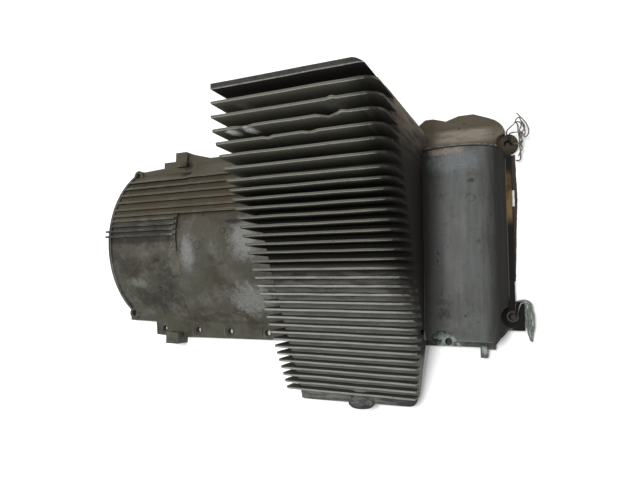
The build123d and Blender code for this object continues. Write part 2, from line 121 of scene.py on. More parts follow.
class NodeBench:
    """Places nodes in one tree and links them."""

    def __init__(self, tree: bpy.types.NodeTree) -> None:
        """Take the tree that the nodes go into."""
        self.tree = tree

    def add(self, kind: str, **settings: object) -> bpy.types.Node:
        """Add a node.

        Args:
            kind: The node's type name.
            settings: Properties of the node.

        Returns:
            The new node.
        """
        node = self.tree.nodes.new(kind)
        for name, value in settings.items():
            setattr(node, name, value)
        return node

    def feed(self, socket: Socket, value: object) -> None:
        """Link a socket to another one, or set its value.

        Args:
            socket: The input socket.
            value: A socket to link, or a value to set.
        """
        if isinstance(value, Socket):
            self.tree.links.new(value, socket)
        elif socket.type == "RGBA":
            socket.default_value = (*value, 1.0)
        else:
            socket.default_value = value

    def make(self, kind: str, feeds: dict[int | str, object], output: int | str = 0,
             **settings: object) -> Socket:
        """Add a node and feed its inputs.

        Args:
            kind: The node's type name.
            feeds: Values or sockets, by the name or number of their input.
            output: Name or number of the output that is used.
            settings: Properties of the node.

        Returns:
            The output's socket.
        """
        node = self.add(kind, **settings)
        for name, value in feeds.items():
            self.feed(node.inputs[name], value)
        return node.outputs[output]

    def math(self, operation: str, first: Input, second: Input) -> Socket:
        """Do one sum of two values, such as ADD or MAXIMUM."""
        return self.make("ShaderNodeMath", {0: first, 1: second}, operation=operation)

    def product(self, *factors: Input) -> Socket:
        """Multiply any number of masks or values."""
        return reduce(lambda first, second: self.math("MULTIPLY", first, second), factors)

    def ramp(self, value: Input, start: float, end: float, low: float = 0.0, high: float = 1.0) -> Socket:
        """Turn a value smoothly from low, before the start, to high, past the end."""
        limits = {"Value": value, "From Min": start, "From Max": end, "To Min": low, "To Max": high}
        return self.make("ShaderNodeMapRange", limits, "Result", interpolation_type="SMOOTHSTEP")

    def fall(self, value: Input, start: float, end: float) -> Socket:
        """Turn a value smoothly from 1 down to 0."""
        return self.ramp(value, start, end, 1.0, 0.0)

    def band(self, value: Input, start: float, end: float, soft: float) -> Socket:
        """Mask of the stretch from start to end, with soft sides."""
        rise = self.ramp(value, start - soft, start + soft)
        return self.product(rise, self.fall(value, end - soft, end + soft))

    def mix(self, share: Input, low: object, high: object) -> Socket:
        """Mix two colours, by how much of the second one shows."""
        return self.make("ShaderNodeMix", {0: share, 6: low, 7: high}, 2, data_type="RGBA")

    def paint(self, skin: object, colour: object, *masks: Input) -> Socket:
        """Lay a colour over a skin where every mask lets it through."""
        return self.mix(self.product(*masks), skin, colour)

    def noise(self, place: Socket, scale: float, detail: float = 3.0, rough: float = 0.55,
              twist: float = 0.0) -> Socket:
        """Cloudy pattern around 0.5, with its scale per metre."""
        sizes = {"Vector": place, "Scale": scale, "Detail": detail, "Roughness": rough, "Distortion": twist}
        return self.make("ShaderNodeTexNoise", sizes)

    def stretched(self, place: Socket, scale: Point, offset: Point = (0, 0, 0)) -> Socket:
        """Moved and stretched coordinates; a small factor draws a pattern out along its axis."""
        return self.make("ShaderNodeMapping", {"Vector": place, "Scale": scale, "Location": offset})

    def vector(self, operation: str, first: Socket, second: Socket) -> Socket:
        """Do one sum of two vectors, such as SUBTRACT."""
        return self.make("ShaderNodeVectorMath", {0: first, 1: second}, operation=operation)

    def length(self, vector: Socket) -> Socket:
        """Length of a vector."""
        return self.make("ShaderNodeVectorMath", {0: vector}, "Value", operation="LENGTH")

    def axes(self, place: Socket) -> tuple[Socket, ...]:
        """X, Y and Z of a place."""
        return tuple(self.make("ShaderNodeSeparateXYZ", {0: place}).node.outputs)


class GroupMaker:
    """Makes one shader node group with named inputs and outputs."""

    def __init__(self, name: str) -> None:
        """Start an empty group.

        Args:
            name: The group's name.
        """
        self.tree = bpy.data.node_groups.new(name, "ShaderNodeTree")
        self.bench = NodeBench(self.tree)
        self.entry = self.bench.add("NodeGroupInput")
        self.exit = self.bench.add("NodeGroupOutput")

    def takes(self, name: str, kind: str = "NodeSocketFloat", value: object = None) -> Socket:
        """Add an input.

        Args:
            name: The input's name.
            kind: Type of its socket.
            value: What it is where nothing is fed in.

        Returns:
            Its socket inside the group.
        """
        item = self.tree.interface.new_socket(name, in_out="INPUT", socket_type=kind)
        if value is not None:
            item.default_value = value
        return self.entry.outputs[name]

    def gives(self, name: str, value: Socket, kind: str = "NodeSocketFloat") -> None:
        """Add an output and link it."""
        self.tree.interface.new_socket(name, in_out="OUTPUT", socket_type=kind)
        self.bench.feed(self.exit.inputs[name], value)


def cast_grain_group() -> bpy.types.NodeTree:
    """Sand-cast skin: fine grain, shallow hollows and small pits.

    Returns:
        A group that puts out a height and a mask of the pits.
    """
    group = GroupMaker("cast_grain")
    bench = group.bench
    place = group.takes("Place", "NodeSocketVector")
    pitting = group.takes("Pitting", value=0.5)
    fine = bench.noise(place, 900.0, 2.0)
    hollows = bench.noise(place, 130.0, 3.0)
    cells = bench.make("ShaderNodeTexVoronoi", {"Vector": place, "Scale": 105.0}, "Distance", feature="F1")
    sparse = bench.ramp(bench.noise(place, 40.0, 2.0), 0.52, 0.66)
    pits = bench.product(bench.fall(cells, 0.10, 0.22), sparse, pitting)
    height = bench.math("ADD", bench.product(fine, 0.35), hollows)
    group.gives("Height", bench.math("SUBTRACT", height, bench.product(pits, 1.2)))
    group.gives("Pits", pits)
    return group.tree


def grime_group() -> bpy.types.NodeTree:
    """Oily dirt that lies in clouds and runs.

    Returns:
        A group that puts out a mask of dirt around a given level.
    """
    group = GroupMaker("grime")
    bench = group.bench
    place = group.takes("Place", "NodeSocketVector")
    amount = group.takes("Amount", value=0.5)
    large = bench.noise(place, 14.0, 4.0, 0.6, 0.8)
    small = bench.noise(place, 75.0, 4.0, 0.6)
    cloud = bench.math("ADD", bench.product(large, 0.65), bench.product(small, 0.35))
    level = bench.math("SUBTRACT", 1.0, amount)
    edge = bench.math("SUBTRACT", cloud, level)
    group.gives("Dirt", bench.ramp(edge, -0.11, 0.11))
    return group.tree


def patch_group() -> bpy.types.NodeTree:
    """One egg-shaped spot with a ragged edge.

    Returns:
        A group that puts out the spot's mask, and a thin ring round the spot.
    """
    group = GroupMaker("patch")
    bench = group.bench
    place = group.takes("Place", "NodeSocketVector")
    centre = group.takes("Centre", "NodeSocketVector")
    reach = group.takes("Reach", "NodeSocketVector")
    ragged = group.takes("Ragged", value=0.5)
    away = bench.vector("SUBTRACT", place, centre)
    share = bench.vector("DIVIDE", away, reach)
    torn = bench.math("SUBTRACT", bench.noise(place, 120.0, 6.0, 0.72), 0.5)
    far = bench.math("ADD", bench.length(share), bench.product(torn, ragged, 3.0))
    thin = bench.ramp(bench.noise(place, 420.0, 3.0), 0.30, 0.60, 0.45, 1.0)
    group.gives("Mask", bench.product(bench.fall(far, 0.35, 1.15), thin))
    group.gives("Ring", bench.product(bench.band(far, 0.72, 0.95, 0.14), thin))
    return group.tree


class GroupShelf:
    """Keeps the node groups that several finishes use."""

    def __init__(self) -> None:
        """Build each group once."""
        self.grain = cast_grain_group()
        self.grime = grime_group()
        self.patch = patch_group()

    @staticmethod
    def place(bench: NodeBench, tree: bpy.types.NodeTree, **inputs: object) -> bpy.types.Node:
        """Put a group into a material.

        Args:
            bench: The material's bench.
            tree: The group.
            inputs: Values or sockets of its inputs, by name.

        Returns:
            The group's node.
        """
        node = bench.add("ShaderNodeGroup", node_tree=tree)
        for name, value in inputs.items():
            bench.feed(node.inputs[name], value)
        return node


@dataclass
class Finish:
    """A material with one Principled shader, whose sockets are fed by name."""

    name: str
    shelf: GroupShelf

    def __post_init__(self) -> None:
        """Start the material and coat it."""
        self.material = bpy.data.materials.new(self.name)
        self.material.use_nodes = True
        self.material.node_tree.nodes.clear()
        self.bench = NodeBench(self.material.node_tree)
        self.shader = self.bench.add("ShaderNodeBsdfPrincipled")
        end = self.bench.add("ShaderNodeOutputMaterial")
        self.bench.feed(end.inputs["Surface"], self.shader.outputs["BSDF"])
        self.place = self.bench.add("ShaderNodeTexCoord").outputs["Object"]
        self.coat()

    def coat(self) -> None:
        """Feed the shader, which each finish does in its own way."""

    def set(self, **values: object) -> None:
        """Feed shader sockets, with underscores for the spaces in their names."""
        for name, value in values.items():
            self.bench.feed(self.shader.inputs[name.replace("_", " ")], value)

    def relief(self, height: Socket, strength: float, depth: float) -> None:
        """Bump the surface, by a depth in metres."""
        bump = {"Height": height, "Strength": strength, "Distance": depth}
        self.set(Normal=self.bench.make("ShaderNodeBump", bump, "Normal"))

    def grain(self, pitting: float) -> bpy.types.Node:
        """Cast skin of this finish."""
        return self.shelf.place(self.bench, self.shelf.grain, Place=self.place, Pitting=pitting)

    def dirt(self, amount: Input) -> Socket:
        """Dirt mask of this finish."""
        return self.shelf.place(self.bench, self.shelf.grime, Place=self.place, Amount=amount).outputs["Dirt"]

    def streaks(self, stretch: Point, scale: float, detail: float = 4.0, rough: float = 0.55) -> Socket:
        """Cloudy pattern of this finish, drawn out along an axis."""
        return self.bench.noise(self.bench.stretched(self.place, stretch), scale, detail, rough)

    def spot(self, centre: Point, reach: Point, ragged: float) -> bpy.types.Node:
        """Egg-shaped spot of this finish."""
        return self.shelf.place(self.bench, self.shelf.patch, Place=self.place, Centre=centre, Reach=reach,
                                Ragged=ragged)


# ---- finishes ----------------------------------------------------------------------------------------


@dataclass(frozen=True)
class CastColours:
    """Colours of the old casting, from clean metal to burnt oil; some also serve as painted shade and
    highlight.
    """

    # bare metal of worn edges, also the painted highlight on the fin tips
    bare_metal_and_highlight: Colour = (0.32, 0.32, 0.30)
    grey: Colour = (0.046, 0.043, 0.034)
    light_grey: Colour = (0.081, 0.078, 0.066)
    pale: Colour = (0.165, 0.168, 0.162)
    blue_grey: Colour = (0.080, 0.085, 0.084)
    # painted highlight on the front pan's crest
    painted_sheen: Colour = (0.150, 0.162, 0.172)
    fin_grey: Colour = (0.175, 0.175, 0.160)
    olive: Colour = (0.044, 0.044, 0.031)
    fin_olive: Colour = (0.075, 0.074, 0.056)
    # brown stains, also painted shade on the front pan's flare near the ridge, the block and the toe
    brown_and_shade: Colour = (0.050, 0.041, 0.027)
    # tan stains and flare, also a painted highlight below the front pan's ridge
    tan: Colour = (0.170, 0.145, 0.118)
    rust: Colour = (0.028, 0.020, 0.013)
    ochre: Colour = (0.150, 0.098, 0.035)
    slate: Colour = (0.026, 0.028, 0.029)
    # soot, also painted shade in the fin grooves, on the fins' far sides, beside the block, on its front wall
    # and corner, down the toe and on the flange's front strip
    soot_and_shade: Colour = (0.008, 0.007, 0.006)
    salt: Colour = (0.300, 0.370, 0.330)
    chalk: Colour = (0.800, 0.800, 0.760)


@dataclass(frozen=True)
class Smudge:
    """A spot of dirt, bloom, wear, painted highlight or painted shade: its colour's name, place, half sizes
    in metres and strength.
    """

    colour: str
    centre: Point
    reach: Point
    share: float
    ragged: float
    ring: bool = False


HOUSING_SMUDGES = (
    Smudge("brown_and_shade", (0.170, 0.020, 0.054), (0.052, 0.020, 0.030), 0.55, 0.8),
    Smudge("soot_and_shade", (0.092, -0.062, 0.044), (0.020, 0.032, 0.030), 0.60, 1.0),
    Smudge("soot_and_shade", (0.024, -0.036, 0.054), (0.034, 0.022, 0.030), 0.50, 0.8),
    Smudge("soot_and_shade", (0.062, -0.088, 0.030), (0.050, 0.022, 0.030), 0.62, 0.9),
    Smudge("olive", (0.160, -0.050, 0.050), (0.034, 0.030, 0.030), 0.60, 1.0),
    Smudge("pale", (0.234, -0.004, 0.054), (0.026, 0.034, 0.030), 0.85, 0.6),
    Smudge("pale", (0.238, -0.088, 0.030), (0.040, 0.030, 0.030), 0.75, 0.7),
    Smudge("pale", (0.137, -0.020, 0.054), (0.014, 0.030, 0.030), 0.80, 0.5),
    Smudge("pale", (0.036, -0.064, 0.044), (0.022, 0.008, 0.030), 0.55, 1.0),
    Smudge("soot_and_shade", (0.100, 0.121, 0.012), (0.012, 0.0080, 0.018), 0.92, 0.7),
    Smudge("soot_and_shade", (0.102, 0.107, 0.014), (0.012, 0.0055, 0.018), 0.88, 0.8),
    Smudge("soot_and_shade", (0.2180, 0.0225, 0.0534), (0.022, 0.0046, 0.014), 0.95, 0.6),
    Smudge("soot_and_shade", (0.1996, 0.0096, 0.0548), (0.0052, 0.0052, 0.014), 0.95, 0.2, True),
    Smudge("soot_and_shade", (0.1560, -0.0096, 0.0547), (0.0070, 0.0070, 0.014), 0.55, 0.2, True),
    Smudge("soot_and_shade", (0.080, -0.0290, 0.0563), (0.0075, 0.0060, 0.014), 0.60, 1.2),
    Smudge("soot_and_shade", (0.070, -0.0420, 0.0520), (0.0120, 0.0040, 0.014), 0.45, 1.2),
    Smudge("soot_and_shade", (0.180, -0.0300, 0.0520), (0.0090, 0.0090, 0.014), 0.35, 1.2),
    Smudge("light_grey", (0.052, -0.0200, 0.0570), (0.026, 0.012, 0.030), 0.45, 0.9),
)
BLOCK_SMUDGES = (
    Smudge("chalk", (0.3150, 0.0965, 0.2010), (0.0085, 0.0040, 0.0120), 1.00, 0.35),
    Smudge("chalk", (0.3370, 0.0965, 0.2000), (0.0085, 0.0040, 0.0130), 1.00, 0.35),
    Smudge("pale", (0.3323, 0.1207, 0.2080), (0.0110, 0.0040, 0.0110), 0.80, 0.6),
    Smudge("fin_grey", (0.4330, 0.1084, 0.2000), (0.0120, 0.0040, 0.0130), 0.60, 0.8),
)
FRONT_SMUDGES = (
    # the first two spots are painted highlights on the crest just below the front pan's ridge
    Smudge("painted_sheen", (0.523, 0.0780, 0.0550), (0.034, 0.0170, 0.020), 0.48, 0.3),
    Smudge("tan", (0.513, 0.0900, 0.0550), (0.026, 0.0046, 0.020), 0.95, 0.6),
    Smudge("soot_and_shade", (0.520, -0.0900, 0.0550), (0.020, 0.0220, 0.020), 0.32, 1.4),
    Smudge("soot_and_shade", (0.500, -0.0500, 0.0550), (0.012, 0.0600, 0.020), 0.30, 0.8),
    Smudge("soot_and_shade", (0.5415, 0.0540, 0.0547), (0.0060, 0.0040, 0.010), 0.75, 1.0),
    Smudge("soot_and_shade", (0.5405, 0.0340, 0.0550), (0.0055, 0.0050, 0.010), 0.60, 1.0, True),
    Smudge("soot_and_shade", (0.5475, -0.0160, 0.0515), (0.0030, 0.0045, 0.010), 0.55, 1.0),
    Smudge("soot_and_shade", (0.5316, -0.1015, 0.0565), (0.0016, 0.0020, 0.008), 1.00, 0.1),
    Smudge("soot_and_shade", (0.5060, -0.0980, 0.0560), (0.0120, 0.0120, 0.020), 0.50, 1.6),
    Smudge("light_grey", (0.5790, -0.1035, 0.0110), (0.0066, 0.0066, 0.006), 0.70, 0.1, True),
    Smudge("salt", (0.5470, -0.1440, 0.0120), (0.0040, 0.0060, 0.006), 0.80, 0.4),
    Smudge("salt", (0.5700, -0.1230, 0.0150), (0.0120, 0.0080, 0.012), 0.50, 1.2),
    Smudge("soot_and_shade", (0.5040, -0.1360, 0.0100), (0.0240, 0.0160, 0.016), 0.60, 0.8),
    Smudge("salt", (0.5040, -0.1340, 0.0120), (0.0210, 0.0120, 0.014), 0.85, 1.1),
)


@dataclass
class CastFinish(Finish):
    """Cast aluminium with each region's own dirt and painted shade and with painted highlights on its fin
    tips, worn to bare metal by 0 on faces and 1 on edges.
    """

    worn: float

    def coat(self) -> None:
        """Find the regions, lay the dirt and painted shade of each over the skin, rub the edges bare and
        paint highlights on the fin tips.
        """
        bench = self.bench
        self.tones = CastColours()
        self.x, self.y, self.z = bench.axes(self.place)
        self.facing = bench.axes(bench.add("ShaderNodeTexCoord").outputs["Normal"])
        tip = bench.math("ADD", bench.product(self.y, PLACES.tip_slope), PLACES.tip_z)
        self.depth = bench.math("SUBTRACT", tip, self.z)
        self.past_rear = bench.ramp(self.x, *PLACES.block_rear)
        self.in_block = bench.product(self.past_rear, bench.fall(self.x, *PLACES.block_front),
                                      bench.ramp(self.z, *PLACES.block_foot))
        self.on_wall = bench.product(self.in_block, bench.ramp(self.y, *PLACES.deep_wall))
        self.low = bench.fall(self.z, *PLACES.flange_top)
        self.cloud = bench.noise(self.place, 32.0, 5.0, 0.62, 0.4)
        self.skin = self.tones.grey

        self.rear_pan()
        rear = self.skin
        self.front_pan()
        self.skin = bench.mix(bench.ramp(self.x, *PLACES.front_pan), rear, self.skin)
        self.upper_fins()
        self.lower_fins()
        self.block_walls()
        self.flange_front()
        self.wing_lip()
        self.flange_sides()
        for spot in HOUSING_SMUDGES + BLOCK_SMUDGES + FRONT_SMUDGES:
            mask = self.spot(spot.centre, spot.reach, spot.ragged).outputs["Ring" if spot.ring else "Mask"]
            self.lay(getattr(self.tones, spot.colour), mask, spot.share)
        self.ridge_lines()
        grain = self.grain(0.9)
        self.lay(self.tones.soot_and_shade, grain.outputs["Pits"], 0.75)

        wear_and_highlight = self.wear_and_highlights()
        shine = bench.ramp(bench.math("ADD", self.cloud, bench.product(wear_and_highlight, -0.2)), 0.25, 0.75, 0.44, 0.58)
        rough = bench.math("MAXIMUM", shine, bench.product(self.matt(), 0.95))
        self.set(Base_Color=bench.mix(wear_and_highlight, self.skin, self.tones.bare_metal_and_highlight), Metallic=bench.product(wear_and_highlight, 0.5),
                 Roughness=rough, Specular_IOR_Level=0.15)
        self.relief(grain.outputs["Height"], 0.45, 0.0008)

    def lay(self, colour: object, *masks: Input) -> None:
        """Lay a colour over the skin where every mask lets it through."""
        self.skin = self.bench.paint(self.skin, colour, *masks)

    def matt(self) -> Socket:
        """Mask of the dry soot and the painted shade, which do not shine: the block with its front wall, the
        toe and the flange.
        """
        front, shaded_toe = self.bench.fall(self.x, 0.487, 0.505), self.bench.ramp(self.x, 0.556, 0.568)
        return self.bench.product(self.past_rear, self.bench.math("MAXIMUM", front, shaded_toe))

    def rear_pan(self) -> None:
        """Housing and rear pan: mottled grey, brown over the ribs, dark specks in clouds."""
        bench, tones = self.bench, self.tones
        self.lay(tones.light_grey, bench.ramp(self.cloud, 0.36, 0.64))
        mould = bench.noise(self.place, 21.0, 6.0, 0.68, 0.6)
        self.lay(tones.olive, bench.ramp(mould, 0.46, 0.58), 0.75)
        baked = bench.noise(bench.stretched(self.place, (1.0, 1.3, 1.0), (0.31, 0.0, 0.0)), 27.0, 6.0, 0.7)
        self.lay(tones.rust, bench.ramp(baked, 0.50, 0.60), 0.6)
        self.lay(tones.soot_and_shade, bench.band(self.y, -0.004, 0.028, 0.003), bench.fall(self.x, 0.108, 0.118), 0.6)
        self.lay(tones.brown_and_shade, bench.ramp(self.y, 0.026, 0.040), bench.fall(self.x, 0.300, 0.310), 0.85)
        specks = bench.ramp(bench.noise(self.place, 240.0, 2.0), 0.60, 0.68)
        self.lay(tones.rust, specks, bench.ramp(bench.noise(self.place, 26.0, 3.0), 0.44, 0.60), 0.75)

    def front_pan(self) -> None:
        """Front pan: bluish with streaks along Y; dark beside the block, partly soot and partly painted
        shadow of the block; painted shade down the toe, which faces away from the light; tan deep side,
        browner near the ridge, the block and the toe as painted shade.
        """
        bench, tones = self.bench, self.tones
        streak = self.streaks((1.0, 0.10, 1.0), 150.0, 4.0, 0.6)
        self.skin = bench.paint(tones.blue_grey, tones.grey, bench.ramp(streak, 0.30, 0.70, 0.0, 0.45))
        self.lay(tones.olive, bench.ramp(bench.noise(self.place, 60.0, 5.0, 0.7), 0.52, 0.66), 0.45)
        # soot beside the block, deepened as a painted shadow of the block
        soot_and_shadow_beside_block = bench.fall(bench.math("ADD", self.x, bench.product(streak, 0.014)), 0.495, 0.527)
        self.lay(tones.soot_and_shade, soot_and_shadow_beside_block, 0.85)
        # painted shade down the toe, which faces away from the light
        shaded_toe = bench.ramp(bench.math("ADD", self.x, bench.product(streak, 0.010)), 0.554, 0.572)
        self.lay(tones.soot_and_shade, shaded_toe, 0.86)
        ridge = PLACES.front_ridge_y
        # the flare's tan turns darker brown near the ridge, the block and the toe as painted shade, with
        # brown stains drawn along it
        flare_stains_and_shade = bench.mix(bench.ramp(self.y, ridge + 3 * MM, ridge + 16 * MM), tones.brown_and_shade, tones.tan)
        along = self.streaks((0.5, 1.0, 1.0), 90.0, 6.0, 0.7)
        for faded in (bench.ramp(along, 0.46, 0.62, 0.0, 0.40), bench.ramp(self.x, 0.487, 0.506, 0.9, 0.0),
                      bench.ramp(self.x, 0.548, 0.566, 0.0, 0.6)):
            flare_stains_and_shade = bench.paint(flare_stains_and_shade, tones.brown_and_shade, faded)
        self.lay(flare_stains_and_shade, bench.ramp(self.y, ridge, ridge + 2 * MM))

    def ridge_lines(self) -> None:
        """Broken bright line along the front pan's ridge, with a black one beside it."""
        bench, tones = self.bench, self.tones
        ridge, soft = PLACES.front_ridge_y, 0.4 * MM
        on_ridge = bench.product(bench.ramp(self.z, 0.018, 0.024), bench.ramp(self.x, 0.486, 0.488))
        torn = self.streaks((1.0, 0.2, 1.0), 190.0, 3.0)
        # a broken dark line just below the ridge
        dark_line = bench.product(bench.band(self.y, ridge - 3.0 * MM, ridge - 1.4 * MM, soft), on_ridge)
        self.lay(tones.soot_and_shade, dark_line, bench.ramp(torn, 0.30, 0.50, 0.4, 0.97))
        lip = bench.product(bench.band(self.y, ridge - 0.8 * MM, ridge + 0.8 * MM, soft), on_ridge)
        self.lay(tones.brown_and_shade, lip)
        self.lay(tones.pale, lip, bench.ramp(torn, 0.45, 0.58))

    def upper_fins(self) -> None:
        """Upper fins: olive, darker with depth into their grooves as painted shade, black in the grooves half
        way up the block.
        """
        bench, tones = self.bench, self.tones
        upper = bench.product(self.in_block, bench.ramp(self.y, *PLACES.fin_tones))
        self.lay(tones.fin_olive, upper)
        high, halfway = bench.ramp(self.y, *PLACES.high_fins), bench.fall(self.y, *PLACES.high_fins)
        # painted shade: the grooves darken with depth below the fin tips, to black half way up the block
        high_groove_shade = bench.product(high, bench.ramp(self.depth, 0.010, 0.050, 0.0, 0.65))
        halfway_groove_shade = bench.product(halfway, bench.ramp(self.depth, 0.002, 0.014, 0.2, 0.92))
        self.lay(tones.soot_and_shade, upper, bench.math("ADD", high_groove_shade, halfway_groove_shade))

    def lower_fins(self) -> None:
        """Lower fins: pale with brown stains, with painted shade in the first grooves and painted shadow on
        the fins' far sides.
        """
        bench, tones = self.bench, self.tones
        lower = bench.product(self.in_block, bench.fall(self.y, *PLACES.fin_tones))
        self.lay(tones.fin_grey, lower)
        stain = bench.ramp(self.streaks((0.20, 1.0, 1.0), 190.0), 0.42, 0.62)
        self.lay(tones.brown_and_shade, lower, bench.ramp(self.y, -0.095, -0.054, 0.35, 1.0), stain, 0.75)
        # painted shadow on the sides that face +Y, and painted shade deep in the first grooves
        far_side_shade = bench.product(bench.ramp(self.facing[1], 0.4, 0.8), 0.75)
        groove_shade = bench.product(bench.ramp(self.y, -0.068, -0.044, 0.0, 0.70),
                               bench.ramp(self.depth, 0.002, 0.013))
        self.lay(tones.soot_and_shade, lower, bench.math("MAXIMUM", far_side_shade, groove_shade))

    def block_walls(self) -> None:
        """Deep side wall with runs of soot, front corner darkened partly by soot and partly as painted shade,
        and the front wall under its fins painted dark as shade, with brown and tan runs.
        """
        bench, tones = self.bench, self.tones
        run = self.streaks((1.0, 1.0, 0.12), 170.0)
        washed = bench.ramp(self.cloud, 0.34, 0.62, 0.45, 1.0)
        stained = bench.paint(tones.soot_and_shade, tones.fin_olive, bench.ramp(self.depth, 0.016, 0.050), washed,
                              bench.ramp(run, 0.30, 0.70, 0.55, 1.0))
        self.lay(stained, self.on_wall, 0.95)
        # front corner of the block, where the fins curve down: partly soot, partly painted shade
        corner = bench.product(bench.ramp(self.x, 0.440, 0.474), bench.ramp(self.y, -0.11, -0.05, 0.35, 1.0))
        self.lay(tones.soot_and_shade, self.in_block, corner, 0.8)
        # front wall, picked by facing +X, away from the light: painted shade, with brown and tan runs over it
        high = bench.product(bench.ramp(self.y, 0.060, 0.105), bench.ramp(run, 0.35, 0.62))
        baked = bench.product(bench.ramp(self.y, 0.088, 0.128), bench.ramp(run, 0.30, 0.62, 0.25, 0.75))
        front_wall_shade_and_stains = bench.paint(bench.paint(tones.soot_and_shade, tones.brown_and_shade, high), tones.tan, baked)
        self.lay(front_wall_shade_and_stains, bench.ramp(self.facing[0], 0.55, 0.85), bench.band(self.x, 0.478, 0.4855, 0.001), 0.92)

    def flange_front(self) -> None:
        """Front strip of the flange: black as painted shadow, with ochre in its upper half, brown towards its
        end and a pale line along it.
        """
        bench, tones = self.bench, self.tones
        # painted shadow on the strip, browner towards its end
        darkened = bench.mix(bench.ramp(self.y, 0.085, 0.100, 0.0, 0.7), tones.soot_and_shade, tones.brown_and_shade)
        varnish = bench.ramp(self.cloud, 0.30, 0.48, 0.3, 1.0)
        darkened = bench.paint(darkened, tones.ochre, bench.band(self.y, 0.012, 0.066, 0.010), varnish, 0.85)
        self.lay(darkened, self.low, bench.ramp(self.x, 0.5685, 0.5715), 0.92)
        line = bench.band(self.x, 0.5746, 0.5764, 0.0003), bench.band(self.y, -0.082, 0.086, 0.004)
        self.lay(tones.tan, *line, bench.band(self.z, 0.009, 0.012, 0.0005), 0.8)

    def wing_lip(self) -> None:
        """Outer edge of the wing, with the drain boss above it: streaks of slate, solid towards the front."""
        bench = self.bench
        drawn = bench.ramp(self.streaks((0.20, 1.0, 1.0), 260.0), 0.38, 0.62, 0.35, 0.80)
        streaks = bench.math("ADD", drawn, bench.ramp(self.x, 0.405, 0.460, 0.0, 0.5))
        boss = bench.product(bench.ramp(self.y, -0.2200, -0.2160, 0.5, 0.1),
                             bench.band(self.x, 0.379, 0.409, 0.004), bench.ramp(self.z, 0.0190, 0.0260))
        dark = bench.math("MINIMUM", bench.math("ADD", streaks, boss), 0.95)
        self.lay(self.tones.slate, bench.fall(self.y, -0.2078, -0.2062), dark)

    def flange_sides(self) -> None:
        """Flange's deep ledge brown, and its bolt rail olive."""
        bench, tones = self.bench, self.tones
        ledge = bench.product(bench.ramp(self.y, 0.096, 0.110), bench.band(self.x, 0.430, 0.570, 0.010))
        self.lay(tones.brown_and_shade, self.low, ledge, 0.9)
        rail = bench.product(bench.fall(self.y, -0.124, -0.118), bench.ramp(self.x, 0.50, 0.55, 1.0, 0.4))
        self.lay(tones.olive, self.low, rail, bench.ramp(self.cloud, 0.38, 0.60, 0.1, 0.7))

    def wear_and_highlights(self) -> Socket:
        """Find the fin tips' shallow-side edges, painted bare as their highlight, and other edges worn bare
        on a worn finish.

        Returns:
            The mask of bare metal and painted highlight.
        """
        bench = self.bench
        # painted highlight: bare metal on the tips' edge that faces -Y, streaked into glints on the low fins
        at_tip = bench.product(self.in_block, bench.band(self.depth, -0.004, 0.0009, 0.0004),
                               bench.ramp(self.y, -0.2085, -0.2065))
        edge = bench.ramp(self.facing[1], -0.80, -0.54, 1.0, 0.08)
        drawn = bench.ramp(self.streaks((0.25, 1.0, 1.0), 150.0), 0.34, 0.66, 0.20, 0.90)
        low_fin_glints = bench.product(bench.fall(self.y, -0.072, -0.042), drawn)
        patchy = bench.ramp(bench.noise(self.place, 420.0, 2.0), 0.35, 0.60, 0.60, 1.0)
        far_corner = bench.ramp(self.x, 0.452, 0.480, 1.0, 0.45)
        tip_wear_and_highlights = bench.product(at_tip, bench.math("MAXIMUM", edge, low_fin_glints), patchy, far_corner)
        rear_only = bench.ramp(self.x, 0.470, 0.480, 0.8, 0.0)
        elsewhere = bench.product(self.worn, bench.math("SUBTRACT", 1.0, self.in_block), rear_only,
                                  bench.ramp(self.cloud, 0.38, 0.66, 0.05, 0.45))
        deep_rim = bench.product(self.worn, self.on_wall, patchy, 0.9)
        return bench.math("MAXIMUM", bench.math("MAXIMUM", tip_wear_and_highlights, deep_rim), elsewhere)


@dataclass
class MachinedFinish(Finish):
    """Milled aluminium of a given colour, with fine tool marks under a share of old oil."""

    metal: Colour
    oily: float

    def coat(self) -> None:
        """Draw the tool marks and soil them."""
        bench = self.bench
        marks = self.streaks((1.0, 12.0, 1.0), 260.0, 2.0)
        clean = bench.mix(marks, self.metal, tuple(1.4 * part for part in self.metal))
        colour = bench.paint(clean, (0.030, 0.024, 0.017), self.dirt(self.oily), 0.9)
        self.set(Base_Color=colour, Metallic=0.6, Roughness=bench.ramp(marks, 0.3, 0.7, 0.34, 0.5))
        self.relief(marks, 0.25, 0.0003)


@dataclass
class SteelFinish(Finish):
    """Plain steel with a dull film, a share of rust, and painted shade where it goes through an ear."""

    steel: Colour
    rusty: float
    darkened: bool = False

    def coat(self) -> None:
        """Lay film, rust and soot over the steel."""
        bench = self.bench
        cloud = bench.noise(self.place, 300.0, 3.0)
        film = bench.mix(bench.ramp(cloud, 0.35, 0.65), self.steel, tuple(0.6 * part for part in self.steel))
        colour = bench.paint(film, (0.12, 0.06, 0.03), self.dirt(self.rusty), 0.8)
        if self.darkened:
            # painted shade on the wire inside the ear's hole
            in_ear = bench.ramp(bench.axes(self.place)[0], 0.5840, 0.5885, 0.97, 0.0)
            colour = bench.paint(colour, (0.012, 0.009, 0.007), in_ear)
        self.set(Base_Color=colour, Metallic=0.6, Roughness=bench.ramp(cloud, 0.3, 0.7, 0.35, 0.55))
        self.relief(cloud, 0.2, 0.0002)


class CopperFinish(Finish):
    """Copper ring with a brown film."""

    def coat(self) -> None:
        """Cloud the copper with its film."""
        bench = self.bench
        cloud = bench.noise(self.place, 350.0, 3.0)
        self.set(Base_Color=bench.mix(cloud, (0.50, 0.24, 0.13), (0.20, 0.11, 0.06)), Metallic=0.9,
                 Roughness=bench.ramp(cloud, 0.3, 0.7, 0.3, 0.5))
        self.relief(cloud, 0.2, 0.0002)


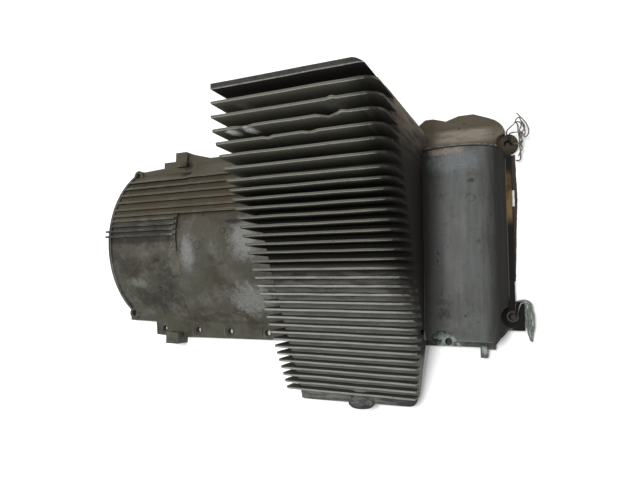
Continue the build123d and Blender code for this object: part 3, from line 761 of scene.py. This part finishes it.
class CorkFinish(Finish):
    """Cork and rubber gasket: brown crumbs in a dark binder, black where oil soaked it and towards its low
    end as painted shade.
    """

    def coat(self) -> None:
        """Scatter the crumbs and soak them."""
        bench = self.bench
        grid = {"Vector": self.place, "Scale": 900.0}
        crumbs = bench.make("ShaderNodeTexVoronoi", grid, "Distance", feature="F1")
        tone = bench.axes(crumbs.node.outputs["Color"])[0]
        cork = bench.mix(tone, (0.15, 0.095, 0.045), (0.30, 0.21, 0.11))
        # painted shade towards the strip's low end
        low_end_shade = bench.fall(bench.axes(self.place)[1], 0.010, 0.034)
        soaked_and_shaded = bench.math("MAXIMUM", self.dirt(0.60), low_end_shade)
        colour = bench.paint(cork, (0.014, 0.011, 0.009), soaked_and_shaded, 0.95)
        self.set(Base_Color=colour, Roughness=0.8, Specular_IOR_Level=0.3)
        self.relief(crumbs, 0.6, 0.0004)


@dataclass
class FloorFinish(Finish):
    """Pale matt floor, with dark painted shadow under the ear and pocket holes and fainter painted shadow
    under the bolt holes.
    """

    drops: tuple[Point, ...]
    bolt_hole_shadows: tuple[Point, ...]
    shadow_r: float = 7.2 * MM

    def coat(self) -> None:
        """Paint the floor and the shadows under the holes."""
        bench = self.bench
        paint = bench.mix(bench.noise(self.place, 3.0, 2.0), (0.90, 0.90, 0.90), (0.93, 0.93, 0.93))
        reach = (self.shadow_r,) * 3
        # painted shadow: dark spots under the ear and pocket holes
        for below_hole in self.drops:
            hole_shadow = bench.ramp(self.spot(below_hole, reach, 0.3).outputs["Mask"], 0.08, 0.40, 0.0, 0.97)
            paint = bench.paint(paint, (0.03, 0.024, 0.018), hole_shadow)
        # painted shadow: fainter spots under the bolt holes
        for below_hole in self.bolt_hole_shadows:
            film = self.spot(below_hole, reach, 0.9).outputs["Mask"]
            paint = bench.paint(paint, (0.20, 0.18, 0.14), film, 0.70)
        self.set(Base_Color=paint, Roughness=0.9, Specular_IOR_Level=0.1)


# ---- shaping by hand ----------------------------------------------------------------------


class Part(Enum):
    """What edit mode selects."""

    VERTS = "VERT"
    EDGES = "EDGE"
    FACES = "FACE"


class HandTools:
    """Operators of edit mode, with the selection made by place."""

    @staticmethod
    def copy_of(node: bpy.types.Object, name: str) -> bpy.types.Object:
        """Copy a CAD node.

        Args:
            node: The node.
            name: The copy's name.

        Returns:
            The copy, in the scene and without materials.
        """
        mesh = node.data.copy()
        mesh.materials.clear()
        piece = bpy.data.objects.new(name, mesh)
        bpy.context.scene.collection.objects.link(piece)
        return piece

    @staticmethod
    def only(piece: bpy.types.Object) -> None:
        """Select one object and nothing else, and make it active.

        Args:
            piece: The object.
        """
        bpy.ops.object.select_all(action="DESELECT")
        piece.select_set(True)
        bpy.context.view_layer.objects.active = piece

    @staticmethod
    def edit(piece: bpy.types.Object, part: Part, chosen: bool = False) -> None:
        """Enter edit mode.

        Args:
            piece: The object.
            part: What is selected there.
            chosen: Whether all of it starts selected, or none.
        """
        HandTools.only(piece)
        bpy.ops.object.mode_set(mode="EDIT")
        bpy.ops.mesh.select_mode(type=part.value)
        bpy.ops.mesh.select_all(action="SELECT" if chosen else "DESELECT")

    @staticmethod
    def done() -> None:
        """Leave edit mode."""
        bpy.ops.object.mode_set(mode="OBJECT")

    @staticmethod
    def merge() -> None:
        """Join a copied node's loose triangles while all is selected in edit mode."""
        bpy.ops.mesh.remove_doubles(threshold=0.002 * MM)
        bpy.ops.mesh.customdata_custom_splitnormals_clear()

    @staticmethod
    def pick(piece: bpy.types.Object, part: Part, wanted: Callable[[FaceOrEdge], bool]) -> int:
        """Select faces or edges by a test while in edit mode.

        Args:
            piece: The object in edit mode.
            part: Whether its faces or its edges are picked.
            wanted: Test of a face or an edge.

        Returns:
            How many are selected.
        """
        bpy.ops.mesh.select_mode(type=part.value)
        bpy.ops.mesh.select_all(action="DESELECT")
        mesh = bmesh.from_edit_mesh(piece.data)
        chosen = [item for item in (mesh.faces if part is Part.FACES else mesh.edges) if wanted(item)]
        for item in chosen:
            item.select_set(True)
        mesh.select_flush_mode()
        bmesh.update_edit_mesh(piece.data)
        return len(chosen)

    @staticmethod
    def smooth(piece: bpy.types.Object, degrees: float) -> None:
        """Shade smooth up to an angle."""
        HandTools.only(piece)
        bpy.ops.object.shade_smooth_by_angle(angle=math.radians(degrees))


# ---- the casting ---------------------------------------------------------------------------------------


@dataclass(frozen=True)
class Knock:
    """A place where a fin was hit: how far its tip went sideways and down, and over what length."""

    x: float
    y: float
    sideways: float
    down: float
    reach: float


class Surface(Enum):
    """The casting's finishes, in the order of its materials."""

    CAST = 0
    EDGE = 1
    MATING = 2
    SPOT_FACE = 3


@dataclass
class CastPan:
    """The casting, with rounded edges, uneven fin tips and a few knocks."""

    node: bpy.types.Object
    shelf: GroupShelf
    piece: bpy.types.Object = field(init=False)
    edge_round: float = 0.55 * MM
    shortest_edge: float = 0.9 * MM
    slice_pitch: float = 12 * MM
    slice_depth: float = 45 * MM
    tip_height: float = 5 * MM
    tip_play: float = 0.45 * MM
    tip_dip: float = 0.6
    waves_per_m: Span = (28, 90)
    half_fin_pitch: float = 4 * MM
    step_most: float = 6 * MM
    step_y: Span = (-0.075, 0.001)
    step_low_z: float = 0.030
    step_near: float = 0.2 * MM
    step_beyond: float = 1.5 * MM
    wing_y: float = -0.1812
    wing_z: float = 0.0355
    wing_slope: float = 0.546
    wing_sink: float = 0.3 * MM
    boss_x: Span = (0.375, 0.413)
    boss_y: Span = (-0.2085, -0.180)
    boss_z: float = 0.019
    boss_top_z: float = 0.037
    pipe_r: float = 10.8 * MM
    rim_y: Span = (-0.2172, -0.2065)
    rim_top: float = 0.0212
    rim_soft: float = 4 * MM
    rim_growth: float = 4.2 * MM
    knocks: tuple[Knock, ...] = (
        Knock(0.4370, 0.1098, -0.0008, -0.0024, 0.005),
        Knock(0.4300, 0.0981, 0.0022, 0.0034, 0.013),
        Knock(0.4450, 0.0981, -0.0006, -0.0016, 0.005),
        Knock(0.4080, 0.0859, 0.0012, 0.0014, 0.009),
        Knock(0.3350, 0.0981, 0.0006, 0.0020, 0.013),
        Knock(0.3600, 0.0859, 0.0012, 0.0010, 0.006),
    )

    def build(self) -> bpy.types.Object:
        """Make the dressed casting.

        Returns:
            The new object, which stands for the CAD casting.
        """
        self.piece = HandTools.copy_of(self.node, "cast_pan")
        self.give_finishes()
        HandTools.edit(self.piece, Part.VERTS, chosen=True)
        HandTools.merge()
        bpy.ops.mesh.dissolve_limited(angle_limit=math.radians(0.4))
        HandTools.done()
        self.blend_housing()
        self.shape_boss()
        self.slice_fins()
        self.unsettle_tips()
        self.round_edges()
        self.keep_in_box()
        self.mark_milled()
        HandTools.smooth(self.piece, 32)
        return self.piece

    def give_finishes(self) -> None:
        """Give the casting its materials, with cast skin all over."""
        finishes = {
            Surface.CAST: CastFinish("cast_skin", self.shelf, 0.0),
            Surface.EDGE: CastFinish("cast_edges", self.shelf, 1.0),
            Surface.MATING: MachinedFinish("milled_aluminium", self.shelf, (0.30, 0.30, 0.28), 0.46),
            Surface.SPOT_FACE: MachinedFinish("oily_spot_faces", self.shelf, (0.11, 0.11, 0.10), 0.62),
        }
        for surface in Surface:
            self.piece.data.materials.append(finishes[surface].material)
        for face in self.piece.data.polygons:
            face.material_index = Surface.CAST.value

    def blend_housing(self) -> None:
        """Bring the housing's front edge down to the rear pan, where the two run together."""
        front = PLACES.housing_front_x
        drops = {}
        for vert in self.piece.data.vertices:
            place = vert.co
            on_edge = abs(place.x - front) < self.step_near and place.z > self.step_low_z
            if on_edge and self.step_y[0] < place.y < self.step_y[1]:
                above = Vector((front + self.step_beyond, place.y, 0.3))
                found, spot, _, _ = self.piece.ray_cast(above, Vector((0, 0, -1)))
                if found and 0 < place.z - spot.z < self.step_most:
                    drops[vert.index] = spot.z
        for index, height in drops.items():
            self.piece.data.vertices[index].co.z = height
        LOG.info("housing edge: %d points lowered", len(drops))

    def shape_boss(self) -> None:
        """Draw the wing's edge out to the drain boss, and slim the boss down between the fins."""
        slimmed = 0
        for vert in self.piece.data.vertices:
            place = vert.co
            if place.z < self.rim_top and self.rim_y[0] < place.y < self.rim_y[1]:
                place.y -= self.rim_growth * min(1.0, (self.rim_y[1] - place.y) / self.rim_soft)
                continue
            inside = self.boss_x[0] < place.x < self.boss_x[1] and self.boss_y[0] < place.y < self.boss_y[1]
            slim = self.slim_height(place)
            if inside and slim < place.z < self.boss_top_z:
                place.z = slim
                slimmed += 1
        LOG.info("drain boss: %d points slimmed", slimmed)

    def slim_height(self, place: Vector) -> float:
        """Find the slimmed boss's top: a pipe round its bore, or just under the wing where that is higher.

        Args:
            place: A place on the boss.

        Returns:
            The height of the top there.
        """
        aside = place.x - sum(self.boss_x) / 2
        pipe = self.boss_z + math.sqrt(max(0.0, self.pipe_r ** 2 - aside ** 2))
        wing = self.wing_z + (place.y - self.wing_y) * self.wing_slope
        return max(wing - self.wing_sink, pipe)

    def slice_fins(self) -> None:
        """Cut the finned block across, so that its fin tips can bend."""
        HandTools.edit(self.piece, Part.EDGES)
        low = PLACES.block_rear_x + self.slice_pitch / 2
        count = int((PLACES.block_front_x - PLACES.block_rear_x) / self.slice_pitch)
        for number in range(count):
            self.slice_at(low + number * self.slice_pitch, (-1.0, 1.0))
        for knock in self.knocks:
            for side in (-1.0, -0.5, -0.2, 0.2, 0.5, 1.0):
                one_fin = (knock.y - self.half_fin_pitch, knock.y + self.half_fin_pitch)
                self.slice_at(knock.x + side * knock.reach, one_fin)
        HandTools.done()

    def slice_at(self, x: float, within: Span) -> None:
        """Cut the fins at one X.

        Args:
            x: Where the cut goes.
            within: The Y values between which fins are cut.
        """

        def is_fin_side(face: bmesh.types.BMFace) -> bool:
            """Tell whether a face crosses the cut and belongs to a fin in range.

            Args:
                face: A face of the casting.

            Returns:
                Whether it is cut.
            """
            xs = [vert.co.x for vert in face.verts]
            centre = face.calc_center_median()
            high = centre.z > PLACES.fin_foot_z and PLACES.depth(centre) < self.slice_depth
            return min(xs) <= x <= max(xs) and high and within[0] < centre.y < within[1]

        if HandTools.pick(self.piece, Part.FACES, is_fin_side):
            bpy.ops.mesh.bisect(plane_co=(x, 0, 0), plane_no=(1, 0, 0))

    def unsettle_tips(self) -> None:
        """Move the fin tips by a little, and by more where they were knocked."""
        for vert in self.piece.data.vertices:
            place = vert.co
            inside = PLACES.block_rear_x - MM < place.x < PLACES.block_front_x + MM
            if not inside or PLACES.depth(place) > self.tip_height or place.z < PLACES.fin_foot_z:
                continue
            along, across = self.waves_per_m
            drift = noise.noise_vector(Vector((place.x * along, place.y * across, 3.1)))
            move = Vector((0, drift.x, -abs(drift.y) * self.tip_dip)) * self.tip_play
            for knock in self.knocks:
                if abs(place.y - knock.y) < self.half_fin_pitch:
                    share = max(0.0, 1 - abs(place.x - knock.x) / knock.reach)
                    move += Vector((0, -knock.sideways, -knock.down)) * share
            vert.co += move

    def round_edges(self) -> None:
        """Round every sharp edge a little and give the rounding its worn finish."""
        sharp = math.radians(28)

        def is_corner(edge: bmesh.types.BMEdge) -> bool:
            """Whether an edge is sharp, sticks out and is long enough to round."""
            closed = len(edge.link_faces) == 2 and edge.calc_length() >= self.shortest_edge
            return closed and edge.calc_face_angle_signed(0.0) > sharp

        HandTools.edit(self.piece, Part.EDGES)
        HandTools.pick(self.piece, Part.EDGES, is_corner)
        bpy.ops.mesh.bevel(offset=self.edge_round, segments=2, profile=0.5, affect="EDGES",
                           material=Surface.EDGE.value, clamp_overlap=False, miter_outer="SHARP")
        HandTools.done()

    def keep_in_box(self) -> None:
        """Hold every point inside the CAD casting's box, which a rounding's mitre can leave."""
        corners = [Vector(corner) for corner in self.node.bound_box]
        low = [min(corner[axis] for corner in corners) for axis in range(3)]
        high = [max(corner[axis] for corner in corners) for axis in range(3)]
        for vert in self.piece.data.vertices:
            vert.co = [min(max(part, least), most) for part, least, most in zip(vert.co, low, high)]

    def mark_milled(self) -> None:
        """Give the mating face and the spot faces their milled finish."""
        for face in self.piece.data.polygons:
            centre = face.center
            if abs(face.normal.z) <= 0.99:
                continue
            aside = min(math.hypot(centre.x - x, centre.y - PLACES.rail_y) for x in PLACES.bolts_x)
            if face.normal.z < 0 and centre.z < 0.2 * MM:
                face.material_index = Surface.MATING.value
            elif aside < PLACES.spot_face_r and centre.z < PLACES.flange_top_z:
                face.material_index = Surface.SPOT_FACE.value


# ---- tag wires and torn gasket ----------------------------------------------------------------------------


@dataclass(frozen=True)
class Strand:
    """One bent wire: its half thickness and the points it runs through, in millimetres."""

    half: float
    points: tuple[Point, ...]


UPPER_STRANDS = (
    Strand(0.55, (
        (582.4, 103.5, 2), (582.4, 104, 12), (578.6, 112, 14), (578.6, 119, 15), (588.4, 125.1, 17),
        (589.2, 128.8, 18), (591.4, 131.3, 19), (593.9, 131.5, 20), (596.7, 123.3, 19), (598.8, 117, 18),
        (599.8, 112.3, 17), (597.6, 109.5, 16), (599.6, 107.6, 16), (602.6, 110.4, 16), (603.6, 114, 17),
        (603.2, 117.8, 18), (600.8, 124.2, 19), (597.5, 128.5, 20), (594.2, 132.3, 21),
        (590.8, 136.8, 21))),
    Strand(0.50, (
        (583.0, 103.2, 3), (582.8, 103.8, 11), (580.9, 114.6, 13), (585, 115.6, 14), (590.7, 115, 15),
        (594.8, 116, 15), (597.2, 113, 15), (595.4, 109, 14), (593.4, 111.2, 14), (595, 114.6, 16),
        (598, 111.6, 16))),
    Strand(0.55, (
        (588.6, 126.4, 16), (591.2, 127.8, 17), (593.8, 126.3, 17), (596.0, 123.8, 16), (594.3, 119.4, 15),
        (591.9, 115.2, 14), (593.6, 111.1, 13), (596, 106.3, 12), (593.3, 102, 12), (596.3, 96.5, 11),
        (593.2, 92.2, 10), (590.8, 87.4, 8))),
    Strand(0.60, (
        (590.2, 126.8, 17), (591.9, 122.7, 16), (591.5, 117, 15), (592.6, 111.2, 13), (592.7, 103.7, 12),
        (593.1, 96, 11), (593.4, 89.9, 10), (593.5, 84, 8), (591.7, 82.2, 7), (588, 83, 6))),
    Strand(0.50, (
        (583.2, 103.4, 3), (583.4, 103.2, 11), (587, 101.6, 12), (590.8, 101.3, 13), (594, 103, 13),
        (595.6, 107, 13), (594.2, 111.6, 14), (597.4, 115.6, 16), (599.6, 120, 17), (597.6, 125, 18),
        (594.6, 128.4, 19))),
    Strand(0.55, (
        (592.2, 116.4, 14), (595.6, 112.4, 15), (593.2, 108, 13), (596.8, 105, 13), (594.4, 100.4, 12),
        (592.6, 103.6, 12))),
)
LOWER_STRANDS = (
    Strand(0.75, (
        (582.8, -103.5, 3), (583, -102.4, 12), (581.9, -93, 13), (583.4, -86.6, 12), (587.6, -84.6, 12),
        (593.8, -84, 12), (597.7, -86.3, 11), (600, -88.8, 11), (600.2, -95.7, 10), (601.6, -98.5, 10),
        (602.1, -105.6, 9), (602, -115.7, 8), (599.8, -123.6, 6), (599, -132.6, 4))),
    Strand(0.60, (
        (583.6, -103.8, 3), (584.2, -102.6, 12), (586, -94, 13), (589, -86.6, 13), (593.4, -87.6, 12),
        (594.9, -97.2, 11), (593.3, -105.9, 10), (593.6, -116, 8), (595.9, -123, 6), (597.4, -131.2, 4))),
)


@dataclass(frozen=True)
class Fray:
    """Loose strands side by side, which wander and meet again at their end; sizes are in millimetres."""

    start: Point = (595.5, -87, 12)
    end: Point = (598.5, -132, 4)
    spread: float = 3.8
    count: int = 11
    steps: int = 9
    wander: Point = (2.6, 2.4, 3.0)
    opening: float = 0.5
    closing: float = 0.85
    half: float = 0.24
    half_step: float = 0.10
    front_limit: float = 603.3
    floor_limit: float = 1.0

    def strands(self) -> tuple[Strand, ...]:
        """Draw every strand, of three thicknesses and four lengths.

        Returns:
            The strands.
        """
        strands = []
        for number in range(self.count):
            points = [self.point(number, step / self.steps) for step in range(self.steps + 1)]
            points = points[:self.steps + 1 - number % 4]
            strands.append(Strand(self.half + self.half_step * (number % 3), tuple(points)))
        return tuple(strands)

    def point(self, number: int, share: float) -> Point:
        """Place one point of a strand.

        Args:
            number: Which strand it is.
            share: How far along the strand the point lies, from 0 to 1.

        Returns:
            The point.
        """
        side = 2 * number / (self.count - 1) - 1
        width = self.spread * (0.75 + self.opening * share) * (1 - share ** 3 * self.closing)
        drift = noise.noise_vector(Vector((number * 3.7, share * 8.3, 0.5)))
        x, y, z = (low + (high - low) * share for low, high in zip(self.start, self.end))
        x = x + side * width + drift.x * self.wander[0]
        y += drift.y * self.wander[1]
        z += drift.z * self.wander[2]
        return min(self.front_limit, x), y, max(self.floor_limit, z)


@dataclass(frozen=True)
class TagWires:
    """A tangle of soft tag wire left in a front ear."""

    name: str
    strands: tuple[Strand, ...]
    kink_steps: int = 4
    sides_step: int = 2
    thick: float = 1.4

    def build(self) -> bpy.types.Object:
        """Make the tangle as a single mesh.

        Returns:
            The new object.
        """
        bpy.ops.object.select_all(action="DESELECT")
        made = [self.wire(f"{self.name}_{number}", strand) for number, strand in enumerate(self.strands)]
        for wire in made:
            wire.select_set(True)
        bpy.context.view_layer.objects.active = made[0]
        bpy.ops.object.convert(target="MESH")
        bpy.ops.object.join()
        piece = bpy.context.object
        piece.name = self.name
        HandTools.smooth(piece, 60)
        return piece

    def wire(self, name: str, strand: Strand) -> bpy.types.Object:
        """Draw one wire as a thick curve through its points.

        Args:
            name: The wire's name.
            strand: Its points and half thickness.

        Returns:
            The curve's object.
        """
        curve = bpy.data.curves.new(name, "CURVE")
        curve.dimensions = "3D"
        curve.bevel_depth = strand.half * self.thick * MM
        curve.bevel_resolution = self.sides_step
        curve.resolution_u = self.kink_steps
        curve.use_fill_caps = True
        line = curve.splines.new("NURBS")
        line.points.add(len(strand.points) - 1)
        for point, place in zip(line.points, strand.points):
            point.co = (*(part * MM for part in place), 1.0)
        line.order_u = 3
        line.use_endpoint_u = True
        wire = bpy.data.objects.new(name, curve)
        bpy.context.scene.collection.objects.link(wire)
        return wire


@dataclass(frozen=True)
class TornGasket:
    """What is left of the front gasket, ragged along its torn edge."""

    node: bpy.types.Object
    slice_pitch: float = 3.0 * MM
    whole_edge: float = 1.2 * MM
    tear: float = 0.9 * MM
    bites_per_m: float = 210
    crumbs_per_m: float = 700
    crumb_share: float = 0.4
    curls_per_m: float = 160
    curl_share: float = 0.3
    edge_round: float = 0.35 * MM

    def build(self) -> bpy.types.Object:
        """Make the ragged strip.

        Returns:
            The new object.
        """
        piece = HandTools.copy_of(self.node, "torn_gasket")
        ys = [vert.co.y for vert in piece.data.vertices]
        HandTools.edit(piece, Part.VERTS, chosen=True)
        HandTools.merge()
        for number in range(1, int((max(ys) - min(ys)) / self.slice_pitch)):
            bpy.ops.mesh.select_all(action="SELECT")
            bpy.ops.mesh.bisect(plane_co=(0, min(ys) + number * self.slice_pitch, 0), plane_no=(0, 1, 0))
        HandTools.done()
        self.tear_edge(piece)
        HandTools.edit(piece, Part.EDGES)
        HandTools.pick(piece, Part.EDGES, lambda edge: edge.calc_face_angle_signed(0.0) > math.radians(50))
        bpy.ops.mesh.bevel(offset=self.edge_round, segments=2, affect="EDGES", clamp_overlap=True)
        HandTools.done()
        HandTools.smooth(piece, 40)
        return piece

    def tear_edge(self, piece: bpy.types.Object) -> None:
        """Pull the outer edge in and up by uneven amounts.

        Args:
            piece: The sliced strip.
        """
        inner = min(vert.co.x for vert in piece.data.vertices)
        for vert in piece.data.vertices:
            if vert.co.x > inner + self.whole_edge:
                bites = abs(noise.noise(Vector((1.7, vert.co.y * self.bites_per_m, 0))))
                crumbs = self.crumb_share * abs(noise.noise(vert.co * self.crumbs_per_m))
                vert.co.x -= self.tear * (bites + crumbs)
                curl = noise.noise(Vector((5.1, vert.co.y * self.curls_per_m, 0)))
                vert.co.z += self.tear * self.curl_share * curl
            vert.co.z = max(vert.co.z, 0.0)


# ---- studio -----------------------------------------------------------------------------------------------


@dataclass(frozen=True)
class Lamp:
    """A soft square lamp that looks at the pan."""

    name: str
    place: Point
    watts: float
    size: float


@dataclass(frozen=True)
class Studio:
    """Camera, lamps, sky and floor."""

    shelf: GroupShelf
    aim: Point = (0.30, -0.03, 0.08)
    camera_place: Point = (0.616, -0.063, 0.650)
    camera_right: Point = (0.91359, 0.0, -0.40665)
    camera_down: Point = (-0.03364, -0.99657, -0.07557)
    lens: float = 28.46
    floor_size: float = 9.0
    sky: float = 0.75
    shaded_bolts: int = 5
    lamps: tuple[Lamp, ...] = (
        Lamp("key_lamp", (0.36, 0.20, 1.70), 24.0, 0.55),
        Lamp("rear_lamp", (-1.1, 0.3, 1.1), 5.0, 0.9),
    )

    def build(self) -> None:
        """Set up everything around the part."""
        self.camera()
        self.light()
        self.floor()

    def camera(self) -> None:
        """Place the camera."""
        data = bpy.data.cameras.new("studio_camera")
        data.lens = self.lens
        data.sensor_width = 36.0
        data.clip_start = 0.01
        camera = bpy.data.objects.new("studio_camera", data)
        bpy.context.scene.collection.objects.link(camera)
        right = Vector(self.camera_right)
        up = -Vector(self.camera_down)
        back = right.cross(up)
        turn = Matrix((right, up, back)).transposed()
        camera.matrix_world = Matrix.Translation(self.camera_place) @ turn.to_4x4()
        bpy.context.scene.camera = camera

    def light(self) -> None:
        """Place the lamps and set the sky."""
        for lamp in self.lamps:
            data = bpy.data.lights.new(lamp.name, "AREA")
            data.energy = lamp.watts
            data.size = lamp.size
            light = bpy.data.objects.new(lamp.name, data)
            light.location = lamp.place
            aim = Vector(self.aim) - Vector(lamp.place)
            light.rotation_euler = aim.to_track_quat("-Z", "Y").to_euler()
            bpy.context.scene.collection.objects.link(light)
        world = bpy.data.worlds.new("studio_sky")
        world.use_nodes = True
        sky = world.node_tree.nodes["Background"]
        sky.inputs["Color"].default_value = (1.0, 1.0, 1.0, 1.0)
        sky.inputs["Strength"].default_value = self.sky
        bpy.context.scene.world = world
        bpy.context.scene.view_settings.view_transform = "Standard"

    def floor(self) -> None:
        """Lay the floor."""
        bpy.ops.object.select_all(action="DESELECT")
        bpy.ops.mesh.primitive_plane_add(size=self.floor_size)
        floor = bpy.context.object
        floor.name = "studio_floor"
        ears = ((PLACES.front_ear_x, PLACES.front_ear_y), (PLACES.front_ear_x, -PLACES.front_ear_y))
        pocket = (PLACES.pocket_x, PLACES.rail_y)
        # places of the painted shadows under the ear, pocket and bolt holes
        drops = tuple((x, y, 0.0) for x, y in (*ears, pocket))
        bolt_hole_shadows = tuple((x - 4 * MM, PLACES.rail_y - 0.6 * MM, 0.0) for x in PLACES.bolts_x[:self.shaded_bolts])
        floor.data.materials.append(FloorFinish("floor_paint", self.shelf, drops, bolt_hole_shadows).material)


def dress(piece: bpy.types.Object, finish: Finish) -> None:
    """Give an object one finish all over."""
    piece.data.materials.clear()
    piece.data.materials.append(finish.material)


def stand_for(piece: bpy.types.Object, node: str) -> None:
    """Let a new piece stand for a CAD node and ride on the part.

    Args:
        piece: The new piece.
        node: Name of the CAD node.
    """
    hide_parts(node)
    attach(piece, "root")
    LOG.info("%s has %d faces", piece.name, len(piece.data.polygons))


def main() -> None:
    """Dress the pan and set it in the studio."""
    logging.basicConfig(level=logging.INFO)
    noise.seed_set(NOISE_SEED)
    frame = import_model()
    nodes = frame["nodes"]
    shelf = GroupShelf()
    Studio(shelf).build()

    stand_for(CastPan(nodes["pan_casting"], shelf).build(), "pan_casting")
    dress(nodes["drain_plug"], SteelFinish("plug_steel", shelf, (0.30, 0.30, 0.29), 0.5))
    dress(nodes["drain_washer"], CopperFinish("washer_copper", shelf))

    gasket = TornGasket(nodes["front_gasket_strip"]).build()
    dress(gasket, CorkFinish("gasket_cork", shelf))
    stand_for(gasket, "front_gasket_strip")

    upper = TagWires("upper_tag_wire", UPPER_STRANDS).build()
    dress(upper, SteelFinish("upper_wire_steel", shelf, (0.13, 0.12, 0.10), 0.30, True))
    stand_for(upper, "upper_tie_wire")

    lower = TagWires("lower_tag_wire", LOWER_STRANDS + Fray().strands()).build()
    dress(lower, SteelFinish("lower_wire_steel", shelf, (0.20, 0.22, 0.20), 0.30, True))
    stand_for(lower, "lower_tie_wire")


if __name__ == "__main__":
    main()
